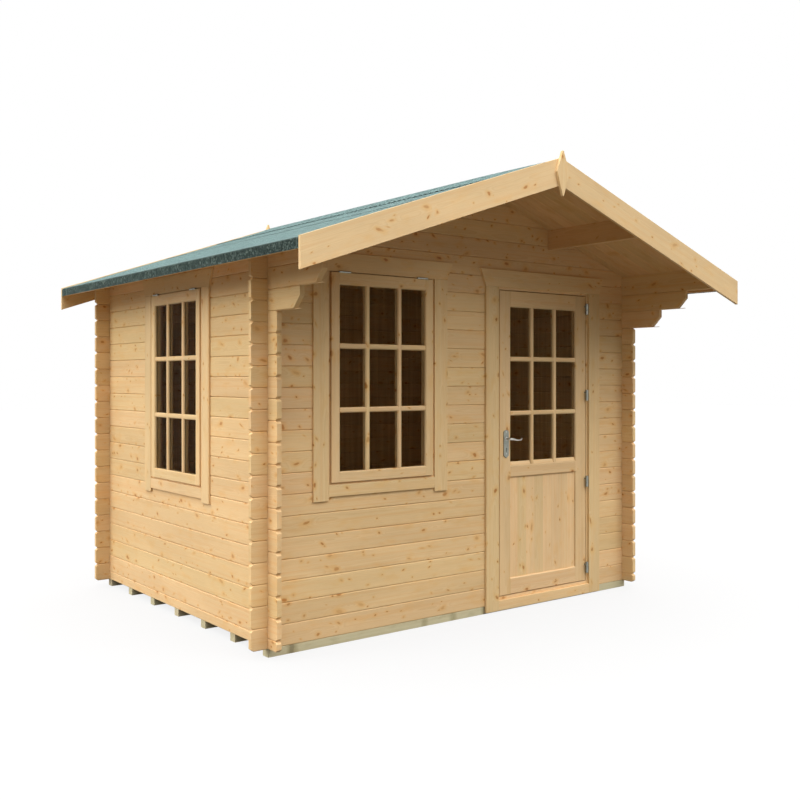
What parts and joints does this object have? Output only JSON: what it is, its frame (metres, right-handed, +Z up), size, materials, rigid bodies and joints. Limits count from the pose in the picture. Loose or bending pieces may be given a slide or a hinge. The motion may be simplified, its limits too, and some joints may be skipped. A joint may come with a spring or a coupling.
{
  "type": "log cabin",
  "caption": "Small interlocking-log cabin with a deep roof canopy over the front, a glazed hinged door, glazed windows at the front and left side, and a felted pitched roof.",
  "frame": {"origin": "on the ground under the centre of the overall box, midway across the roof and midway between the front and back finials", "axes": "+X towards the right-hand wall seen from the front, +Y from the front canopy towards the back wall, +Z up"},
  "size_m": [3.336, 3.321, 2.7199],
  "materials": {
    "log_timber": "planed, untreated",
    "joinery_timber": "planed, untreated",
    "roof_timber": "planed, untreated",
    "barge_timber": "planed, untreated",
    "treated_timber": "pressure treated, sawn",
    "floor_timber": "planed, untreated",
    "roof_felt": "mineral-surfaced, matt",
    "pane_glass": "clear float glass",
    "steel": "satin plated"
  },
  "bodies": {
    "cabin": {"floor_bearers": "treated_timber", "floor": "floor_timber", "front_wall_left": "log_timber", "front_wall_right": "log_timber", "front_gable": "log_timber", "left_wall": "log_timber", "right_wall": "log_timber", "back_wall": "log_timber", "back_gable": "log_timber", "ridge_purlin": "roof_timber", "left_purlin": "roof_timber", "right_purlin": "roof_timber", "left_roof_boards": "roof_timber", "right_roof_boards": "roof_timber", "left_roof_felt": "roof_felt", "right_roof_felt": "roof_felt", "left_eave_batten": "roof_timber", "right_eave_batten": "roof_timber", "front_left_bargeboard": "barge_timber", "front_right_bargeboard": "barge_timber", "back_left_bargeboard": "barge_timber", "back_right_bargeboard": "barge_timber", "front_finial": "barge_timber", "back_finial": "barge_timber", "front_window_frame": "joinery_timber", "front_window_casing": "joinery_timber", "front_window_sash": "joinery_timber", "front_window_glass": "pane_glass", "front_window_hinges": "steel", "side_window_frame": "joinery_timber", "side_window_casing": "joinery_timber", "side_window_sash": "joinery_timber", "side_window_glass": "pane_glass", "side_window_hinges": "steel", "door_frame": "joinery_timber", "door_casing": "joinery_timber", "door_frame_hinges": "steel"},
    "door": {"door_leaf": "joinery_timber", "door_panel": "joinery_timber", "door_glass": "pane_glass", "door_leaf_hinges": "steel", "door_lock_plates": "steel"},
    "handle": {"door_handle": "steel"}
  },
  "joints": [
    {"name": "door_hinge", "type": "hinge", "parent": "cabin", "child": "door", "pos_m": [1.013, -0.9115, 1], "axis": [0, 0, 1], "range_deg": [0, 110]},
    {"name": "handle_turn", "type": "hinge", "parent": "door", "child": "handle", "pos_m": [0.278, -0.8785, 1.08], "axis": [0, 1, 0], "range_deg": [0, 40], "stiffness_Nm_per_rad": 0.8, "springref_deg": -34.38}
  ]
}
